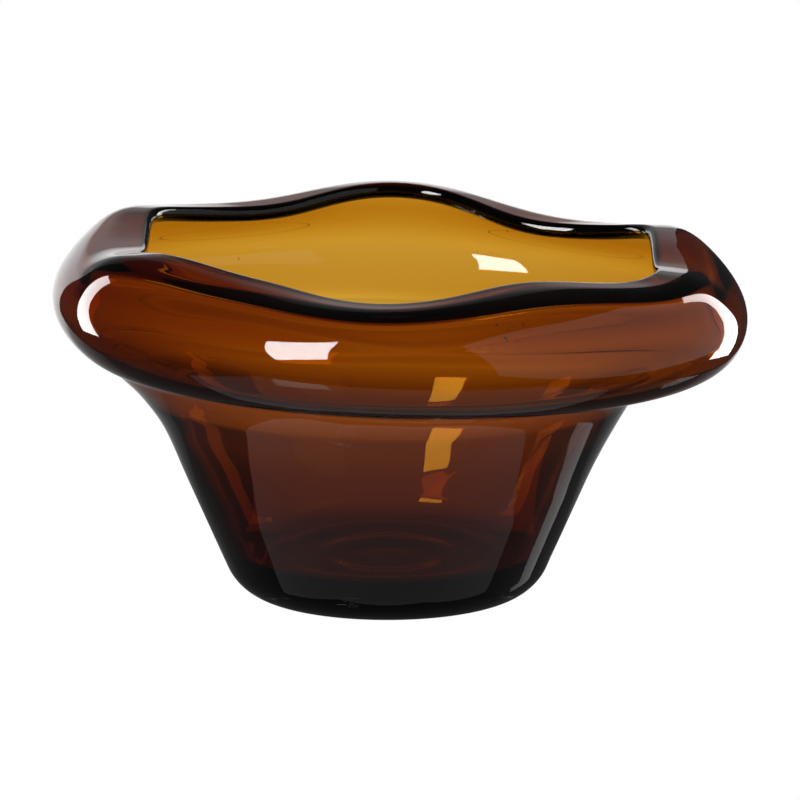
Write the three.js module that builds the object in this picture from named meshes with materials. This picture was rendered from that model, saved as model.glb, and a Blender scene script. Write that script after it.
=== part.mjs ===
// An art glass bowl, blown in one piece: a thick round foot, a tapered body, a wide hollow
// rolled rim and a thick lip with six soft lobes around the open mouth.
// Millimetres, +Z up. The origin is the centre of the flat underside. The glass has no joint
// or seam anywhere, so it is one mesh: a wall section revolved about Z, then shaped by hand.

import * as THREE from 'three';

const DEGREE = Math.PI / 180;

// Foot and body, as the outside of the glass
const FOOT_FLAT_RADIUS = 52;
const FOOT_CORNER_RADIUS = 24.7;
const BODY_SLOPE = 66.3 * DEGREE; // from horizontal
const BODY_LENGTH = 88.5; // along the slope

// Neck and rolled rim: arcs that meet in line, named from below upwards
const NECK_RADIUS = 26.5; // hollow curve under the roll
const ROLL_START_SLOPE = 2 * DEGREE;
const ROLL_LOWER_RADIUS = 27;
const ROLL_OUTER_RADIUS = 23.5;
const ROLL_UPPER_RADIUS = 33;
const ROLL_LOWER_END = 60 * DEGREE;
const ROLL_OUTER_END = 120 * DEGREE;
const ROLL_UPPER_END = 178 * DEGREE;
const LIP_LENGTH = 10.5;

// Wall thickness at shares of the way from the top of the foot corner to the lip
const WALL_THICKNESS = [
  { share: 0, thickness: 7.6 },
  { share: 0.5, thickness: 4.4 },
  { share: 0.72, thickness: 4.5 },
  { share: 0.82, thickness: 5.7 },
  { share: 0.88, thickness: 5.1 },
  { share: 0.95, thickness: 7 },
  { share: 1, thickness: 7.2 },
];

// One lobe of the rolled rim holds more glass than the rest
const THICK_LOBE = { place: 215 * DEGREE, width: 40 * DEGREE, extra: 1.8 };
const THICK_LOBE_RISE = 40; // along the outside, from the neck
const LIP_RUN = 20; // along the outside, from where the extra glass starts to thin to the lip

// The inside floor
const INNER_WALL_START = 10; // along the outside from the top of the foot corner
const FLOOR_CORNER_RADIUS = 14;
const FLOOR_DISH = 1.5; // how much lower the middle of the floor is than its edge

// What the maker's hand did to the rim: the whole roll sits off the foot's axis and leans,
// it is slightly oval, and the neck is fuller on the -X side and at the back
const RIM_SHIFT = 6;
const RIM_LEAN = -2.1 * DEGREE;
const RIM_OVAL = 1.7;
const NECK_FILL = 11;
const NECK_FILL_PLACE = 102.5; // along the outside from the top of the foot corner
const NECK_FILL_WIDTH = 20;
const BACK_FILL = 8;
const BACK_FILL_PLACE = 103;
const BACK_FILL_WIDTH = 18;
const BACK_FILL_SLOPE = 34 * DEGREE; // of the wall it is pushed square out of

// The lip's six lobes and the six dips between them, every 30 degrees from +X round through +Y:
// how far each is pulled out and how far it is raised
const LIP_STATIONS = [
  { out: 3, up: 1 },
  { out: 9, up: 0.5 },
  { out: -7.5, up: -2 },
  { out: 7, up: 6.5 },
  { out: -6.5, up: 0 },
  { out: 10, up: 0.5 },
  { out: 2, up: -0.5 },
  { out: 12, up: 0.5 },
  { out: -6.5, up: -2.5 },
  { out: 7.5, up: -3.7 },
  { out: -8, up: 2 },
  { out: 8, up: -1.5 },
];

// The opening is cut straight at its +X and -X ends, with rounded corners
const OPENING_END = 118.5;
const END_SOFTNESS = 1.5;

// Where the tools pinched the corners of the opening upwards
const PINCHES = [
  { place: 25 * DEGREE, width: 9 * DEGREE, height: 1.5 },
  { place: 154 * DEGREE, width: 9 * DEGREE, height: 1.5 },
  { place: 215 * DEGREE, width: 12 * DEGREE, height: 4.5 },
  { place: 338 * DEGREE, width: 9 * DEGREE, height: 2.5 },
];

// How finely the shape is divided
const TURNS = 80;
const CORNER_STEPS = 5;
const BODY_STEPS = 4;
const NECK_STEPS = 5;
const ROLL_STEPS = 5;
const LIP_STEPS = 2;
const BEAD_STEPS = 4;
const FLOOR_STEPS = 3;

// A curve in the (r, z) half plane, drawn by walking: straight runs, and arcs that end in a
// given direction. Each point also keeps its direction and the distance walked.
class Walk {
  constructor(r, z, direction) {
    this.points = [{ r, z, direction, walked: 0 }];
  }

  get last() {
    return this.points[this.points.length - 1];
  }

  step(length, chordDirection, direction, walkedStep) {
    const from = this.last;
    this.points.push({
      r: from.r + length * Math.cos(chordDirection),
      z: from.z + length * Math.sin(chordDirection),
      direction,
      walked: from.walked + walkedStep,
    });
  }

  line(length, steps) {
    for (let i = 0; i < steps; i += 1) {
      this.step(length / steps, this.last.direction, this.last.direction, length / steps);
    }
  }

  arc(radius, endDirection, steps) {
    const turn = (endDirection - this.last.direction) / steps;
    const chord = 2 * radius * Math.sin(Math.abs(turn) / 2);
    for (let i = 0; i < steps; i += 1) {
      const start = this.last.direction;
      this.step(chord, start + turn / 2, start + turn, radius * Math.abs(turn));
    }
  }
}

function smoothStep(value) {
  const t = THREE.MathUtils.clamp(value, 0, 1);
  return t * t * (3 - 2 * t);
}

function footCorner() {
  const walk = new Walk(FOOT_FLAT_RADIUS, 0, 0);
  walk.arc(FOOT_CORNER_RADIUS, BODY_SLOPE, CORNER_STEPS);
  return walk.points;
}

// The outside of the wall from the top of the foot corner to the lip, and where the roll starts
function outerWall(start) {
  const walk = new Walk(start.r, start.z, start.direction);
  walk.line(INNER_WALL_START, 1);
  walk.line(BODY_LENGTH - INNER_WALL_START, BODY_STEPS);
  const neckStart = walk.last.walked;
  walk.arc(NECK_RADIUS, ROLL_START_SLOPE, NECK_STEPS);
  walk.arc(ROLL_LOWER_RADIUS, ROLL_LOWER_END, ROLL_STEPS);
  const rollStart = walk.last.walked;
  walk.arc(ROLL_OUTER_RADIUS, ROLL_OUTER_END, ROLL_STEPS);
  walk.arc(ROLL_UPPER_RADIUS, ROLL_UPPER_END, ROLL_STEPS);
  walk.line(LIP_LENGTH, LIP_STEPS);
  return { points: walk.points, neckStart, rollStart, length: walk.last.walked };
}

function wallThickness(share) {
  const next = WALL_THICKNESS.findIndex((station, i) => i > 0 && share <= station.share);
  const upper = WALL_THICKNESS[next < 0 ? WALL_THICKNESS.length - 1 : next];
  const lower = WALL_THICKNESS[WALL_THICKNESS.indexOf(upper) - 1];
  const blend = smoothStep((share - lower.share) / (upper.share - lower.share));
  return THREE.MathUtils.lerp(lower.thickness, upper.thickness, blend);
}

// The inside of the wall lies square off the outside, by the wall's thickness
function innerWall(outer) {
  return outer.points.slice(1).map(({ r, z, direction, walked }) => {
    const thickness = wallThickness(walked / outer.length);
    const inward = { r: -Math.sin(direction), z: Math.cos(direction) };
    return { r: r + thickness * inward.r, z: z + thickness * inward.z, walked, inward };
  });
}

// The rounded edge of the lip, from the outer skin over to the inner one
function lipBead(outerEnd, innerEnd) {
  const middle = { r: (outerEnd.r + innerEnd.r) / 2, z: (outerEnd.z + innerEnd.z) / 2 };
  const radius = Math.hypot(outerEnd.r - middle.r, outerEnd.z - middle.z);
  const startAngle = Math.atan2(outerEnd.z - middle.z, outerEnd.r - middle.r);
  const points = [];
  for (let i = 1; i < BEAD_STEPS; i += 1) {
    const angle = startAngle + (Math.PI * i) / BEAD_STEPS;
    const r = middle.r + radius * Math.cos(angle);
    const z = middle.z + radius * Math.sin(angle);
    points.push({ r, z, walked: outerEnd.walked });
  }
  return points;
}

// The inside corner and the dished floor, from the foot of the inner wall to the axis
function insideFloor(innerWallPoints) {
  const [first, second] = innerWallPoints;
  const slope = Math.atan2(second.z - first.z, second.r - first.r);
  const centreR = first.r - FLOOR_CORNER_RADIUS * Math.sin(slope);
  const centreZ = first.z + FLOOR_CORNER_RADIUS * Math.cos(slope);
  const edgeZ = centreZ - FLOOR_CORNER_RADIUS;
  const points = [];
  for (let i = CORNER_STEPS - 1; i >= 0; i -= 1) {
    const angle = (slope * i) / CORNER_STEPS;
    const r = centreR + FLOOR_CORNER_RADIUS * Math.sin(angle);
    const z = centreZ - FLOOR_CORNER_RADIUS * Math.cos(angle);
    points.push({ r, z, walked: 0 });
  }
  for (let i = FLOOR_STEPS - 1; i >= 0; i -= 1) {
    const share = i / FLOOR_STEPS;
    const dish = FLOOR_DISH * (1 - smoothStep(share));
    points.push({ r: centreR * share, z: edgeZ - dish, walked: 0 });
  }
  return points;
}

// The whole wall section, from the centre of the underside round to the middle of the floor
function wallSection() {
  const corner = footCorner();
  const outer = outerWall(corner[corner.length - 1]);
  const inner = innerWall(outer);
  const bead = lipBead(outer.points[outer.points.length - 1], inner[inner.length - 1]);
  const foot = [{ r: 0, z: 0 }, ...corner.slice(0, -1)].map(({ r, z }) => ({ r, z, walked: 0 }));
  const points = [
    ...foot,
    ...outer.points,
    ...bead,
    ...inner.slice().reverse(),
    ...insideFloor(inner),
  ];
  const lipRadius = outer.points[outer.points.length - 1].r;
  const { neckStart, rollStart, length } = outer;
  return { points, neckStart, rollStart, length, lipRadius };
}

// A smooth wave through evenly spaced values around the lip
function waveThrough(values) {
  const count = values.length;
  const orders = [];
  for (let order = 0; order <= count / 2; order += 1) {
    const full = order === 0 || order === count / 2 ? 1 : 2;
    let cosine = 0;
    let sine = 0;
    values.forEach((value, i) => {
      cosine += (full / count) * value * Math.cos((order * i * 2 * Math.PI) / count);
      sine += (full / count) * value * Math.sin((order * i * 2 * Math.PI) / count);
    });
    orders.push({ order, cosine, sine });
  }
  return (angle) => orders.reduce(
    (sum, { order, cosine, sine }) => (
      sum + cosine * Math.cos(order * angle) + sine * Math.sin(order * angle)
    ),
    0,
  );
}

const lipOut = waveThrough(LIP_STATIONS.map(({ out }) => out));
const lipUp = waveThrough(LIP_STATIONS.map(({ up }) => up));

// A smooth bump around the axis, 1 at its place and fading over its width
function bumpAround(angle, place, width) {
  const turn = 2 * Math.PI;
  const away = THREE.MathUtils.euclideanModulo(angle - place + Math.PI, turn) - Math.PI;
  return Math.exp(-((away / width) ** 2));
}

// The smaller of two distances, with the change from one to the other rounded off
function softLeast(first, second) {
  const sum = Math.exp(-first / END_SOFTNESS) + Math.exp(-second / END_SOFTNESS);
  return -END_SOFTNESS * Math.log(sum);
}

function lipOutward(lipRadius, angle) {
  const towardEnd = Math.max(Math.abs(Math.cos(angle)), 0.5);
  return softLeast(lipRadius + lipOut(angle), OPENING_END / towardEnd) - lipRadius;
}

function lipUpward(angle) {
  return PINCHES.reduce(
    (sum, { place, width, height }) => sum + height * bumpAround(angle, place, width),
    lipUp(angle),
  );
}

// How much glass a thick lobe adds to the inside of the wall, none of it at the two ends
function extraThickness(section, walked, angle) {
  const lobe = THICK_LOBE.extra * bumpAround(angle, THICK_LOBE.place, THICK_LOBE.width);
  const rise = smoothStep((walked - section.neckStart) / THICK_LOBE_RISE);
  return lobe * rise * smoothStep((section.length - walked) / LIP_RUN);
}

// Moves a point of the revolved section to where the maker's hand left it
function handShape(section, point, angle) {
  const { walked } = point;
  const bodyMiddle = section.neckStart / 2;
  const rim = smoothStep((walked - bodyMiddle) / (section.rollStart - bodyMiddle));
  const lip = smoothStep((walked - section.rollStart) / (section.length - section.rollStart));
  const fill = NECK_FILL * Math.exp(-(((walked - NECK_FILL_PLACE) / NECK_FILL_WIDTH) ** 2));
  const backward = Math.max(Math.sin(angle), 0) ** 2;
  const backPlace = (walked - BACK_FILL_PLACE) / BACK_FILL_WIDTH;
  const backFill = BACK_FILL * backward * Math.exp(-(backPlace ** 2));
  const inward = point.inward ?? { r: 0, z: 0 };
  const extra = extraThickness(section, walked, angle);
  const r = point.r
    + extra * inward.r
    + lip * lipOutward(section.lipRadius, angle)
    + rim * RIM_OVAL * Math.cos(2 * angle)
    + fill * (1 - Math.cos(angle)) / 2
    + backFill * Math.sin(BACK_FILL_SLOPE);
  const x = r * Math.cos(angle);
  const y = r * Math.sin(angle);
  const z = point.z
    + extra * inward.z
    + lip * lipUpward(angle)
    + rim * Math.tan(RIM_LEAN) * x
    - backFill * Math.cos(BACK_FILL_SLOPE);
  return new THREE.Vector3(x + rim * RIM_SHIFT, y, z);
}

function bowlGeometry() {
  const section = wallSection();
  const outline = section.points.map(({ r, z }) => new THREE.Vector2(r, z));
  const geometry = new THREE.LatheGeometry(outline, TURNS);
  geometry.rotateX(Math.PI / 2);
  const position = geometry.getAttribute('position');
  const columns = TURNS + 1;
  for (let column = 0; column < columns; column += 1) {
    for (let row = 0; row < outline.length; row += 1) {
      const index = column * outline.length + row;
      const point = section.points[row];
      const turn = ((column % TURNS) / TURNS) * 2 * Math.PI;
      const place = handShape(section, point, turn - Math.PI / 2);
      position.setXYZ(index, place.x, place.y, place.z);
    }
  }
  geometry.computeVertexNormals();
  return geometry;
}

function bowl() {
  const glass = new THREE.MeshStandardMaterial({ color: 0x8a4b0e, roughness: 0.03, metalness: 0 });
  glass.transparent = true;
  glass.opacity = 0.85;
  const mesh = new THREE.Mesh(bowlGeometry(), glass);
  mesh.name = 'glass_bowl';
  return mesh;
}

const object = new THREE.Group();
object.add(bowl());

export default object;
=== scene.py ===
"""Looks of the art glass bowl: its fine surface, its glass, a plain studio and the camera.

Metres, +Z up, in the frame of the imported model. The fine surface is the same revolved and
hand-shaped wall section as the CAD solid, divided much more finely, with faint rings and with
seeds (small bubbles) that the solid leaves out.
"""

from math import atan2, cos, hypot, pi, radians, sin, tan

import bmesh
import bpy
import numpy as np
from mathutils import Matrix, Vector


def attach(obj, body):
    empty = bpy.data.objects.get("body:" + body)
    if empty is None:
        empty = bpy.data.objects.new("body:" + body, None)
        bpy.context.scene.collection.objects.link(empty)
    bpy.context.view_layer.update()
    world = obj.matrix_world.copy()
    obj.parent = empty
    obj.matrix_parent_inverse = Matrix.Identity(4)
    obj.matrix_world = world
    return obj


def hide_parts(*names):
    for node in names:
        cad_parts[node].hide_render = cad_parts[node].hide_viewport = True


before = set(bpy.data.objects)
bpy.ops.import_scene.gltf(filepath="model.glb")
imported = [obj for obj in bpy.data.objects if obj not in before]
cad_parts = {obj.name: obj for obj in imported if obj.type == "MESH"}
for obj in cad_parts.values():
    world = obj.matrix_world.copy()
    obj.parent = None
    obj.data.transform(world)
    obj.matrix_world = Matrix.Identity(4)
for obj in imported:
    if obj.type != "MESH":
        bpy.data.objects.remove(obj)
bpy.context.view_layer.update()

MM = 0.001

# Foot and body, as the outside of the glass (mm)
FOOT_FLAT_RADIUS = 52
FOOT_CORNER_RADIUS = 24.7
BODY_SLOPE = radians(66.3)
BODY_LENGTH = 88.5

# Neck and rolled rim: arcs that meet in line, named from below upwards (mm)
NECK_RADIUS = 26.5
ROLL_START_SLOPE = radians(2)
ROLL_ARCS = [(27, radians(60)), (23.5, radians(120)), (33, radians(178))]  # radius, end slope
LIP_LENGTH = 10.5

# Wall thickness (mm) at shares of the way from the top of the foot corner to the lip
WALL_SHARES = [0, 0.5, 0.72, 0.82, 0.88, 0.95, 1]
WALL_THICKNESSES = [7.6, 4.4, 4.5, 5.7, 5.1, 7, 7.2]

# One lobe of the rim where the wall is thicker: how much (mm), where and how wide (degrees), and the
# distance along the wall, from the body's top, in which it reaches that (mm)
THICK_LOBE = 1.8
THICK_LOBE_PLACE = 215
THICK_LOBE_WIDTH = 40
LOBE_RISE = 40

# Faint rings that blowing leaves on the inside of the wall: depth and spacing (mm)
RING = 0.03
RING_LENGTH = 24

# The lengths over which the lobe and the rings fade in above the floor and out at the lip (mm)
INNER_RUN = 15
LIP_RUN = 20

# The inside floor (mm): where the inside wall starts, the floor's corner and dish, and its rings
INNER_WALL_START = 10
FLOOR_CORNER_RADIUS = 14
FLOOR_DISH = 1.5
FLOOR_RING = 0.4
FLOOR_RINGS = 2.5  # how many

# What the maker's hand did to the rim and neck (mm; the lean and the slope are angles)
RIM_SHIFT = 6
RIM_LEAN = radians(-2.1)
RIM_OVAL = 1.7
NECK_FILL = 11
NECK_FILL_PLACE = 102.5
NECK_FILL_WIDTH = 20
BACK_FILL = 8
BACK_FILL_PLACE = 103
BACK_FILL_WIDTH = 18
BACK_FILL_SLOPE = radians(34)

# The lip's lobes and dips, every 30 degrees from +X round through +Y (mm)
LIP_OUT = [3, 9, -7.5, 7, -6.5, 10, 2, 12, -6.5, 7.5, -8, 8]
LIP_UP = [1, 0.5, -2, 6.5, 0, 0.5, -0.5, 0.5, -2.5, -3.7, 2, -1.5]

# The opening's straight ends, and its four corners, which the tools pinched upwards (mm, degrees)
RIGHT_END = 118.5
LEFT_END = 118.5
END_SOFTNESS = 1.5
CORNERS = [(25, 1.5, 9), (154, 1.5, 9), (215, 4.5, 12), (338, 2.5, 9)]  # angle, height, width

# How deep the seeds (small bubbles) lie, as a share of the wall from the outside
SEED_DEPTH = 0.15

# Each seed: angle (degrees), distance along the wall (mm), radius (mm) and stretch
SEED_BUBBLES = [
    (287, 181, 0.5, 1.5),
    (289, 178, 0.55, 1),
    (290, 180, 0.45, 1),
    (291.5, 179, 0.5, 2),
    (288, 173, 0.7, 2.2),
    (290.5, 171, 0.45, 1),
    (293, 176, 0.4, 1),
    (254, 44, 0.4, 5),
    (254, 37, 0.35, 4),
    (254.5, 31, 0.45, 3),
    (254.5, 25, 0.4, 3),
    (254.5, 18, 0.5, 4),
    (231, 160, 0.4, 1.5),
    (262, 150, 0.4, 1),
    (305, 100, 0.4, 1.5),
    (70, 170, 0.4, 2),
    (120, 150, 0.45, 1.5),
    (20, 165, 0.45, 1.5),
    (168, 120, 0.45, 1.5),
    (330, 70, 0.4, 2),
]

# Where the studio's table ends in front of the bowl (m)
TABLE_FRONT = -0.25

# How brightly (radiance) the studio glows at places along Y or at heights (m)
# Painted light on the table behind the bowl: the strip under the foot, then the rear table, dimmest next
# to the bowl as painted shade
NEAR_PAINTED_LIGHT_STOPS = [(0.06, 0.5), (0.2, 0.55), (0.29, 0.62), (0.34, 0.72)]
REAR_PAINTED_LIGHT_STOPS = [
    (0.1, 0.08),
    (0.2, 0.18),
    (0.3, 0.33),
    (0.38, 0.8),
    (0.49, 0.95),
    (0.7, 1.12),
    (0.95, 1.2),
    (1.25, 1.28),
]
# The backdrop's glow, brightest at the floor and fading upwards, is painted fall-off of light
BACKDROP_FADING_LIGHT_STOPS = [(0, 1.28), (0.25, 1.1), (0.42, 0.9), (0.5, 0.4)]
# A glowing panel above the backdrop, seen only mirrored in the glass: a painted sheen on the lip
PAINTED_SHEEN_STOPS = [(0.5, 0.3), (0.7, 0.33), (0.9, 0.2), (1.3, 0.12), (2, 0.06)]

# Heights of the two layers of glowing table pieces, just under the floor (m)
LOW = -0.004
HIGH = -0.002

# How bright (radiance) the evenly glowing stage pieces are
# The plinth's faint glow is painted shade under and beside the bowl
PLINTH_PAINTED_SHADE_RADIANCE = 0.05
# The lit front's glow is painted light: a pool of light on the table before the bowl
PAINTED_LIGHT_FRONT_RADIANCE = 0.24
DIFFUSER_RADIANCE = 0.42

# How bright (radiance) the rest of the studio is, mirrored in the glass and seen through it
MIRRORED_RADIANCE = 0.03
THROUGH_RADIANCE = 0.6

# The edge of the painted light on the plinth, nearest the bowl, where the painted shadow begins, from
# right to left (m)
PAINTED_LIGHT_FRONT_EDGE = [
    (0.205, -0.11),
    (0.124, -0.072),
    (0.11, -0.057),
    (0.06, -0.057),
    (0.02, -0.075),
    (-0.03, -0.075),
    (-0.06, -0.053),
    (-0.11, -0.053),
    (-0.136, -0.067),
    (-0.205, -0.1),
]

# The painted strip of light that starts under the back of the foot and runs away from the camera (m)
TABLE_NEAR_PAINTED_LIGHT = [(-0.078, 0.06), (0.09, 0.06), (0.098, 0.34), (-0.086, 0.34)]

# How finely the surface is divided
TURNS = 360
STEP = 1.6  # mm along the section


class Walk:
    """A curve in the (r, z) half plane, drawn by straight runs and by arcs to a given slope."""

    def __init__(self, r, z, slope):
        self.points = [(r, z, slope, 0.0)]

    def line(self, length):
        steps = max(2, round(length / STEP))
        for _ in range(steps):
            r, z, slope, walked = self.points[-1]
            part = length / steps
            self.points.append((r + part * cos(slope), z + part * sin(slope), slope, walked + part))

    def arc(self, radius, end_slope):
        turn = end_slope - self.points[-1][2]
        steps = max(4, round(abs(turn) * radius / STEP))
        part = turn / steps
        chord = 2 * radius * sin(abs(part) / 2)
        for _ in range(steps):
            r, z, slope, walked = self.points[-1]
            middle = slope + part / 2
            r, z = r + chord * cos(middle), z + chord * sin(middle)
            self.points.append((r, z, slope + part, walked + radius * abs(part)))


def smooth_step(value):
    t = np.clip(value, 0, 1)
    return t * t * (3 - 2 * t)


def wall_thickness(share):
    upper = next((i for i in range(1, len(WALL_SHARES)) if share <= WALL_SHARES[i]), len(WALL_SHARES) - 1)
    span = WALL_SHARES[upper] - WALL_SHARES[upper - 1]
    blend = smooth_step((share - WALL_SHARES[upper - 1]) / span)
    return WALL_THICKNESSES[upper - 1] * (1 - blend) + WALL_THICKNESSES[upper] * blend


def wall_section():
    """The wall's section as rows of r, z, distance walked and inward normal, and its landmarks.

    The normal is zero on the outside, so only the inside moves when the wall is thickened.
    """
    corner = Walk(FOOT_FLAT_RADIUS, 0, 0)
    corner.arc(FOOT_CORNER_RADIUS, BODY_SLOPE)
    outer = Walk(*corner.points[-1][:3])
    outer.line(INNER_WALL_START)
    inner_start = len(outer.points) - 1
    outer.line(BODY_LENGTH - INNER_WALL_START)
    neck_start = outer.points[-1][3]
    outer.arc(NECK_RADIUS, ROLL_START_SLOPE)
    outer.arc(*ROLL_ARCS[0])
    roll_start = outer.points[-1][3]
    outer.arc(*ROLL_ARCS[1])
    outer.arc(*ROLL_ARCS[2])
    outer.line(LIP_LENGTH)
    length = outer.points[-1][3]
    inner = []
    for r, z, slope, walked in outer.points[inner_start:]:
        thickness = wall_thickness(walked / length)
        inward = (-sin(slope), cos(slope))
        inner.append((r + thickness * inward[0], z + thickness * inward[1], walked, *inward))
    rows = []
    flat_steps = round(FOOT_FLAT_RADIUS / STEP / 1.5)
    for i in range(flat_steps):
        rows.append((FOOT_FLAT_RADIUS * i / flat_steps, 0, 0, 0, 0))
    rows += [(r, z, 0, 0, 0) for r, z, _, _ in corner.points[:-1]]
    rows += [(r, z, walked, 0, 0) for r, z, _, walked in outer.points]
    rows += lip_bead(rows[-1], inner[-1])
    rows += inner[::-1]
    rows += inside_floor(inner)
    return np.array(rows), neck_start, roll_start, length


def lip_bead(outer_end, inner_end):
    middle = (outer_end[0] + inner_end[0]) / 2, (outer_end[1] + inner_end[1]) / 2
    radius = hypot(outer_end[0] - middle[0], outer_end[1] - middle[1])
    start = atan2(outer_end[1] - middle[1], outer_end[0] - middle[0])
    steps = 12
    angles = [start + pi * i / steps for i in range(1, steps)]
    places = [(middle[0] + radius * cos(a), middle[1] + radius * sin(a)) for a in angles]
    return [(r, z, outer_end[2], 0, 0) for r, z in places]


def inside_floor(inner):
    slope = atan2(inner[1][1] - inner[0][1], inner[1][0] - inner[0][0])
    centre_r = inner[0][0] - FLOOR_CORNER_RADIUS * sin(slope)
    centre_z = inner[0][1] + FLOOR_CORNER_RADIUS * cos(slope)
    steps = round(FLOOR_CORNER_RADIUS * slope / STEP)
    rows = []
    for i in range(steps - 1, -1, -1):
        angle = slope * i / steps
        r = centre_r + FLOOR_CORNER_RADIUS * sin(angle)
        rows.append((r, centre_z - FLOOR_CORNER_RADIUS * cos(angle), 0, 0, 0))
    edge_z = centre_z - FLOOR_CORNER_RADIUS
    steps = round(centre_r / STEP)
    for i in range(steps - 1, -1, -1):
        share = i / steps
        dish = FLOOR_DISH * (1 - smooth_step(share))
        ring = FLOOR_RING * sin(2 * pi * FLOOR_RINGS * share) * sin(pi * share)
        rows.append((centre_r * share, edge_z - dish + ring, 0, 0, 0))
    return rows


def wave_through(values, angles):
    """A smooth wave through evenly spaced values around the lip."""
    count = len(values)
    places = np.arange(count) * 2 * pi / count
    total = np.zeros_like(angles)
    for order in range(count // 2 + 1):
        full = 1 if order in (0, count // 2) else 2
        cosine = full / count * np.sum(values * np.cos(order * places))
        sine = full / count * np.sum(values * np.sin(order * places))
        total += cosine * np.cos(order * angles) + sine * np.sin(order * angles)
    return total


def soft_least(first, second, softness):
    """The smaller of two distances, with the change from one to the other rounded off."""
    return -softness * np.log(np.exp(-first / softness) + np.exp(-second / softness))


def lip_outward(lip_radius, angles):
    """How far the lip is moved outwards: its wave, cut straight at the opening's two ends."""
    radius = lip_radius + wave_through(LIP_OUT, angles)
    right = RIGHT_END / np.maximum(np.cos(angles), 0.5)
    left = LEFT_END / np.maximum(-np.cos(angles), 0.5)
    radius = soft_least(radius, right, END_SOFTNESS)
    return soft_least(radius, left, END_SOFTNESS) - lip_radius


def lip_upward(angles):
    """How far the lip is moved upwards: its wave and its pinched corners."""
    total = wave_through(LIP_UP, angles)
    for place, height, width in CORNERS:
        away = (np.degrees(angles) - place + 180) % 360 - 180
        total += height * np.exp(-((away / width) ** 2))
    return total


def extra_thickness(walked, angles, neck_start, length):
    """What blowing adds to the wall: one thicker lobe and faint rings, none at the two ends."""
    away = (np.degrees(angles) - THICK_LOBE_PLACE + 180) % 360 - 180
    lobe = THICK_LOBE * np.exp(-((away / THICK_LOBE_WIDTH) ** 2))
    lobe = lobe * smooth_step((walked - neck_start) / LOBE_RISE)
    rings = RING * np.sin(2 * pi * walked / RING_LENGTH + np.sin(angles))
    from_start = smooth_step((walked - INNER_WALL_START) / INNER_RUN)
    from_lip = smooth_step((length - walked) / LIP_RUN)
    return (lobe + rings) * from_start * from_lip


def hand_shaped(rows, neck_start, roll_start, length):
    """The revolved section, moved to where the maker's hand left it: rows x turns x 3, in mm."""
    angles = np.arange(TURNS) * 2 * pi / TURNS
    r, z, walked, inward_r, inward_z = (rows[:, i : i + 1] for i in range(5))
    extra = extra_thickness(walked, angles, neck_start, length)
    r = r + inward_r * extra
    z = z + inward_z * extra
    lip_radius = r[np.argmax(walked), 0]
    body_middle = neck_start / 2
    rim = smooth_step((walked - body_middle) / (roll_start - body_middle))
    lip = smooth_step((walked - roll_start) / (length - roll_start))
    fill = NECK_FILL * np.exp(-(((walked - NECK_FILL_PLACE) / NECK_FILL_WIDTH) ** 2))
    r = r + lip * lip_outward(lip_radius, angles) + rim * RIM_OVAL * np.cos(2 * angles)
    r = r + fill * (1 - np.cos(angles)) / 2
    back_fill = BACK_FILL * np.exp(-(((walked - BACK_FILL_PLACE) / BACK_FILL_WIDTH) ** 2))
    back_fill = back_fill * np.maximum(np.sin(angles), 0) ** 2
    r = r + back_fill * sin(BACK_FILL_SLOPE)
    x, y = r * np.cos(angles), r * np.sin(angles)
    z = z + lip * lip_upward(angles) + rim * tan(RIM_LEAN) * x
    z = z - back_fill * cos(BACK_FILL_SLOPE)
    return np.stack([x + rim * RIM_SHIFT, y, z], axis=-1)


def middle_of_wall(grid, rows, angle, walked, share):
    """A place inside the glass: a share of the way in from the outside, in mm, and the way upwards."""
    outside = np.flatnonzero((rows[:, 2] > 0) & (rows[:, 3] == 0) & (rows[:, 4] == 0))
    inside = np.flatnonzero(np.hypot(rows[:, 3], rows[:, 4]) > 0)
    turn = round(angle / 360 * TURNS) % TURNS
    outer = outside[np.argmin(np.abs(rows[outside, 2] - walked))]
    inner = inside[np.argmin(np.abs(rows[inside, 2] - walked))]
    place = grid[outer, turn] * (1 - share) + grid[inner, turn] * share
    along = grid[outer + 1, turn] - grid[outer, turn]
    return place, along / np.linalg.norm(along)


def seeds(grid, rows):
    """Where the small bubbles lie in the glass: each one's place (mm), the way along the wall, its radius
    (mm) and stretch.
    """
    bubbles = []
    for angle, walked, radius, stretch in SEED_BUBBLES:
        bubbles.append((*middle_of_wall(grid, rows, angle, walked, SEED_DEPTH), radius, stretch))
    return bubbles


def add_bubble(mesh_data, place, along, radius, stretch):
    """Adds one stretched sphere, turned inside out, to a bmesh."""
    facing = Vector(along).to_track_quat("Z", "Y").to_matrix().to_4x4()
    size = Matrix.Diagonal((radius * MM, radius * MM, radius * stretch * MM, 1))
    matrix = Matrix.Translation(Vector(place) * MM) @ facing @ size
    made = bmesh.ops.create_icosphere(mesh_data, subdivisions=2, radius=1, matrix=matrix)
    faces = {face for vert in made["verts"] for face in vert.link_faces}
    for face in faces:
        face.smooth = True
    bmesh.ops.reverse_faces(mesh_data, faces=list(faces))


def revolved_mesh(name, grid):
    """A closed mesh from rows of points round the axis; the first and last rows are one point."""
    rows, turns, _ = grid.shape
    verts = [tuple(grid[0, 0] * MM)]
    verts += [tuple(p) for p in grid[1:-1].reshape(-1, 3) * MM]
    verts.append(tuple(grid[-1, 0] * MM))
    faces = []
    last = len(verts) - 1

    def index(row, turn):
        return 1 + (row - 1) * turns + turn % turns

    for turn in range(turns):
        faces.append((0, index(1, turn + 1), index(1, turn)))
        for row in range(1, rows - 2):
            a, b = index(row, turn), index(row, turn + 1)
            c, d = index(row + 1, turn + 1), index(row + 1, turn)
            faces.append((a, b, c, d))
        faces.append((index(rows - 2, turn), index(rows - 2, turn + 1), last))
    mesh = bpy.data.meshes.new(name)
    mesh.from_pydata(verts, [], faces)
    mesh.shade_smooth()
    return mesh


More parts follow.
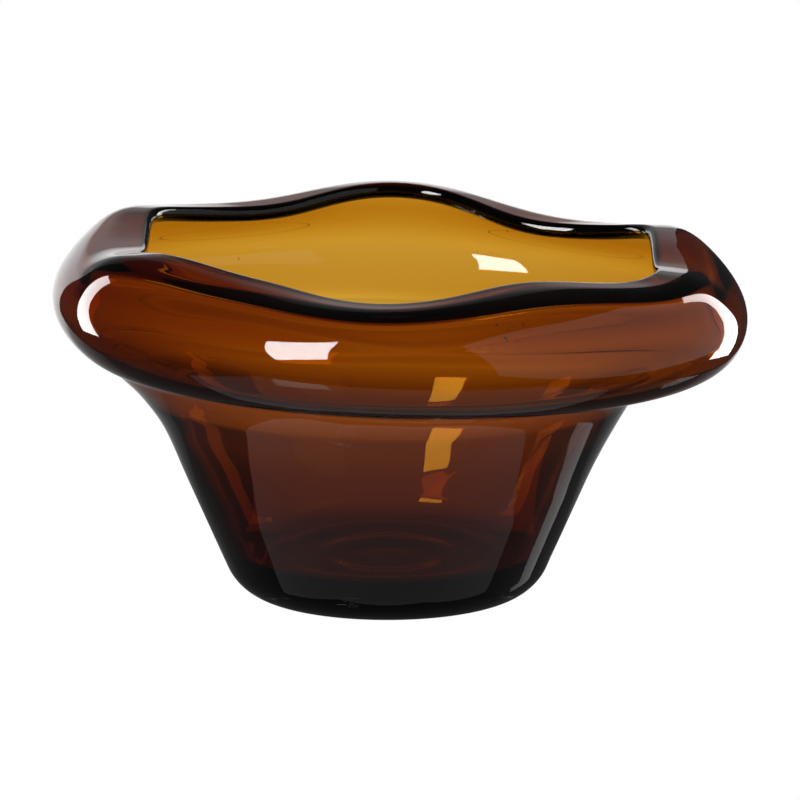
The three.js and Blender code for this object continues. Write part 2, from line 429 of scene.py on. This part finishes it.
def amber_glass():
    material = bpy.data.materials.new("amber_glass")
    material.use_nodes = True
    nodes, links = material.node_tree.nodes, material.node_tree.links
    shader = nodes["Principled BSDF"]
    shader.inputs["Base Color"].default_value = (1, 1, 1, 1)
    shader.inputs["Roughness"].default_value = 0.0
    shader.inputs["IOR"].default_value = 1.5
    shader.inputs["Transmission Weight"].default_value = 1
    place = nodes.new("ShaderNodeTexCoord")
    waves = nodes.new("ShaderNodeTexNoise")
    waves.inputs["Scale"].default_value = 16
    waves.inputs["Detail"].default_value = 2
    bump = nodes.new("ShaderNodeBump")
    bump.inputs["Strength"].default_value = 0.3
    bump.inputs["Distance"].default_value = 0.0003
    links.new(place.outputs["Object"], waves.inputs["Vector"])
    links.new(waves.outputs[0], bump.inputs["Height"])
    links.new(bump.outputs["Normal"], shader.inputs["Normal"])
    absorb = nodes.new("ShaderNodeVolumeAbsorption")
    absorb.inputs["Color"].default_value = (0.82, 0.64, 0.0, 1)
    absorb.inputs["Density"].default_value = 840
    output = nodes["Material Output"]
    links.new(absorb.outputs["Volume"], output.inputs["Volume"])
    return material


def bowl():
    section = wall_section()
    grid = hand_shaped(*section)
    mesh = revolved_mesh("bowl_glass", grid)
    mesh_data = bmesh.new()
    mesh_data.from_mesh(mesh)
    for bubble in seeds(grid, section[0]):
        add_bubble(mesh_data, *bubble)
    mesh_data.to_mesh(mesh)
    mesh_data.free()
    mesh.materials.append(amber_glass())
    piece = bpy.data.objects.new("bowl_glass", mesh)
    bpy.context.collection.objects.link(piece)
    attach(piece, "root")
    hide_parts("glass_bowl")
    return piece


def stage_mesh(name, corners, material):
    """A flat stage piece with any number of corners."""
    mesh = bpy.data.meshes.new(name)
    mesh.from_pydata(corners, [], [tuple(range(len(corners)))])
    mesh.materials.append(material)
    piece = bpy.data.objects.new(name, mesh)
    bpy.context.collection.objects.link(piece)
    return piece


def unseen(piece):
    """A piece of the studio that lights the glass but stays out of the picture."""
    piece.visible_camera = False
    piece.visible_shadow = False


def floor():
    """The plain white floor that the camera sees. The glass mirrors and shows the studio instead."""
    material = bpy.data.materials.new("floor")
    material.use_nodes = True
    shader = material.node_tree.nodes["Principled BSDF"]
    shader.inputs["Base Color"].default_value = (0, 0, 0, 1)
    shader.inputs["Specular IOR Level"].default_value = 0
    shader.inputs["Emission Color"].default_value = (1, 1, 1, 1)
    shader.inputs["Emission Strength"].default_value = 1
    size = 30
    z = -0.0004
    corners = [(-size, -size, z), (size, -size, z), (size, size, z), (-size, size, z)]
    piece = stage_mesh("floor", corners, material)
    piece.visible_glossy = False
    piece.visible_transmission = False
    piece.visible_diffuse = False
    piece.visible_shadow = False


def glow_along(name, axis, stops, gloss):
    """A stage material whose glow follows one axis: stops are (place in metres, radiance)."""
    material = bpy.data.materials.new(name)
    material.use_nodes = True
    nodes, links = material.node_tree.nodes, material.node_tree.links
    shader = nodes["Principled BSDF"]
    shader.inputs["Base Color"].default_value = (0, 0, 0, 1)
    shader.inputs["Roughness"].default_value = 0.02
    shader.inputs["Specular IOR Level"].default_value = gloss
    place = nodes.new("ShaderNodeNewGeometry")
    split = nodes.new("ShaderNodeSeparateXYZ")
    span = nodes.new("ShaderNodeMapRange")
    first, last = stops[0][0], stops[-1][0]
    brightest = max(radiance for _, radiance in stops)
    span.inputs["From Min"].default_value = first
    span.inputs["From Max"].default_value = last
    ramp = nodes.new("ShaderNodeValToRGB")
    for _ in stops[1:-1]:
        ramp.color_ramp.elements.new(0.5)
    for element, (at, radiance) in zip(ramp.color_ramp.elements, stops):
        element.position = (at - first) / (last - first)
        value = radiance / brightest
        element.color = (value, value, value, 1)
    links.new(place.outputs["Position"], split.inputs[0])
    links.new(split.outputs[axis], span.inputs["Value"])
    links.new(span.outputs[0], ramp.inputs[0])
    links.new(ramp.outputs["Color"], shader.inputs["Emission Color"])
    shader.inputs["Emission Strength"].default_value = brightest
    return material


def flat_piece(name, outline, z, material):
    unseen(stage_mesh(name, [(x, y, z) for x, y in outline], material))


def table():
    """Glowing stage pieces kept out of the picture: a dim glossy base whose faint glow is painted shade
    under and beside the bowl, table pieces whose glow is painted light in front of and behind it, and a
    backdrop whose painted light fades upwards, with a panel above it for a painted reflection.
    """
    half = 0.205
    wide = 0.26
    middle = 0.1
    widening = 0.55
    bend = (-0.42, widening)
    back = 2.5
    left, right = -1.5, 0.35
    # Painted shade: the plinth glows only faintly under and beside the bowl
    dark = [(TABLE_FRONT, PLINTH_PAINTED_SHADE_RADIANCE), (middle, PLINTH_PAINTED_SHADE_RADIANCE)]
    # Painted light: the front piece glows as a pool of light, cut off near the bowl by a painted shadow
    # edge
    bright = [(TABLE_FRONT, PAINTED_LIGHT_FRONT_RADIANCE), (0, PAINTED_LIGHT_FRONT_RADIANCE)]
    plinth_painted_shade = glow_along("plinth_painted_shade", "Y", dark, 0.5)
    lit = glow_along("painted_light_front", "Y", bright, 0.5)
    # Painted light behind the bowl, fading into painted shade next to it
    near_painted_light = glow_along("table_near_painted_light", "Y", NEAR_PAINTED_LIGHT_STOPS, 0)
    rear_painted_light = glow_along("table_rear_painted_light", "Y", REAR_PAINTED_LIGHT_STOPS, 0)
    # Painted fall-off of light: the backdrop glows less towards the top
    upright = glow_along("backdrop", "Z", BACKDROP_FADING_LIGHT_STOPS, 0)
    corners = [(-wide, TABLE_FRONT), (wide, TABLE_FRONT), (wide, middle), (-wide, middle)]
    flat_piece("plinth_painted_shade", corners, LOW, plinth_painted_shade)
    flat_piece("painted_light_front", [(-half, TABLE_FRONT), (half, TABLE_FRONT), *PAINTED_LIGHT_FRONT_EDGE], HIGH, lit)
    flat_piece("table_near_painted_light", TABLE_NEAR_PAINTED_LIGHT, HIGH, near_painted_light)
    flat_piece("table_rear_painted_light", [(-wide, middle), (wide, middle), (wide, widening), bend], LOW, rear_painted_light)
    flat_piece("table_far_painted_light", [bend, (wide, widening), (right, back), (left, back)], LOW, rear_painted_light)
    top = BACKDROP_FADING_LIGHT_STOPS[-1][0]
    corners = [(left, back, 0), (right, back, 0), (right, back, top), (left, back, top)]
    unseen(stage_mesh("backdrop", corners, upright))
    # Painted reflection: a dim panel that only the glass's mirror images see, for a grey sheen on the lip
    corners = [(left, back, top), (right, back, top), (right, back, 2), (left, back, 2)]
    painted_sheen = stage_mesh("backdrop_painted_sheen", corners, glow_along("backdrop_painted_sheen", "Z", PAINTED_SHEEN_STOPS, 0))
    unseen(painted_sheen)
    painted_sheen.visible_transmission = False


def glowing(name, radiance):
    """A stage material that glows evenly."""
    material = bpy.data.materials.new(name)
    material.use_nodes = True
    nodes, links = material.node_tree.nodes, material.node_tree.links
    nodes.clear()
    glow = nodes.new("ShaderNodeEmission")
    output = nodes.new("ShaderNodeOutputMaterial")
    glow.inputs["Strength"].default_value = radiance
    links.new(glow.outputs[0], output.inputs["Surface"])
    return material


def softbox(name, azimuth, elevation, distance, width, height, lean, radiance):
    """A soft light facing the bowl. Azimuth 0 is the camera's side and 90 is +X (degrees)."""
    material = glowing(name, radiance)
    around, above = radians(azimuth), radians(elevation)
    outward = Vector((sin(around) * cos(above), -cos(around) * cos(above), sin(above)))
    across = outward.cross(Vector((0, 0, 1))).normalized()
    upright = across.cross(outward)
    tilt = radians(lean)
    tall = upright * cos(tilt) + across * sin(tilt)
    wide = across * cos(tilt) - upright * sin(tilt)
    centre = Vector((0, 0, 0.12)) + outward * distance
    signs = [(-1, -1), (1, -1), (1, 1), (-1, 1)]
    corners = [centre + wide * (a * width / 2) + tall * (b * height / 2) for a, b in signs]
    unseen(stage_mesh(name, [tuple(c) for c in corners], material))


def lights():
    softbox("front_softbox", -37.1, 28.9, 1.5, 0.42, 1.1, 12, 18)
    softbox("left_strip", -121.1, 3, 2, 0.45, 1.9, -12, 8)
    softbox("right_strip", 132.1, 6.8, 2, 0.75, 2.3, 11, 6)


def diffuser():
    """A tall, pale sheet along the right side."""
    material = glowing("diffuser", DIFFUSER_RADIANCE)
    x = 1.5
    front, back = -2.3, 1.2
    bottom, top = -0.5, 2.6
    corners = [(x, front, bottom), (x, back, bottom), (x, back, top), (x, front, top)]
    unseen(stage_mesh("diffuser", corners, material))


def background(nodes, radiance):
    shader = nodes.new("ShaderNodeBackground")
    shader.inputs["Color"].default_value = (1, 1, 1, 1)
    shader.inputs["Strength"].default_value = radiance
    return shader


def studio():
    """White to the camera, pale through the glass and dark where the glass mirrors it."""
    world = bpy.data.worlds.new("studio")
    bpy.context.scene.world = world
    world.use_nodes = True
    nodes, links = world.node_tree.nodes, world.node_tree.links
    nodes.clear()
    output = nodes.new("ShaderNodeOutputWorld")
    path = nodes.new("ShaderNodeLightPath")
    through = nodes.new("ShaderNodeMixShader")
    links.new(path.outputs["Is Transmission Ray"], through.inputs[0])
    links.new(background(nodes, MIRRORED_RADIANCE).outputs[0], through.inputs[1])
    links.new(background(nodes, THROUGH_RADIANCE).outputs[0], through.inputs[2])
    seen = nodes.new("ShaderNodeMixShader")
    links.new(path.outputs["Is Camera Ray"], seen.inputs[0])
    links.new(through.outputs[0], seen.inputs[1])
    links.new(background(nodes, 1).outputs[0], seen.inputs[2])
    links.new(seen.outputs[0], output.inputs["Surface"])
    table()
    lights()
    diffuser()


def camera():
    data = bpy.data.cameras.new("camera")
    data.lens = 360
    data.sensor_width = 36
    data.clip_end = 100
    piece = bpy.data.objects.new("camera", data)
    bpy.context.collection.objects.link(piece)
    elevation = radians(11.8)
    distance = 3.712
    target = Vector((0.0059, 0, 0.0919))
    back = Vector((0, -cos(elevation), sin(elevation)))
    piece.location = target + back * distance
    piece.rotation_mode = "QUATERNION"
    piece.rotation_quaternion = (-back).to_track_quat("-Z", "Y")
    bpy.context.scene.camera = piece


camera()
bowl()
floor()
studio()
scene = bpy.context.scene
scene.view_settings.view_transform = "Standard"
scene.cycles.max_bounces = 32
scene.cycles.transmission_bounces = 32
scene.cycles.glossy_bounces = 32
scene.cycles.min_light_bounces = 32
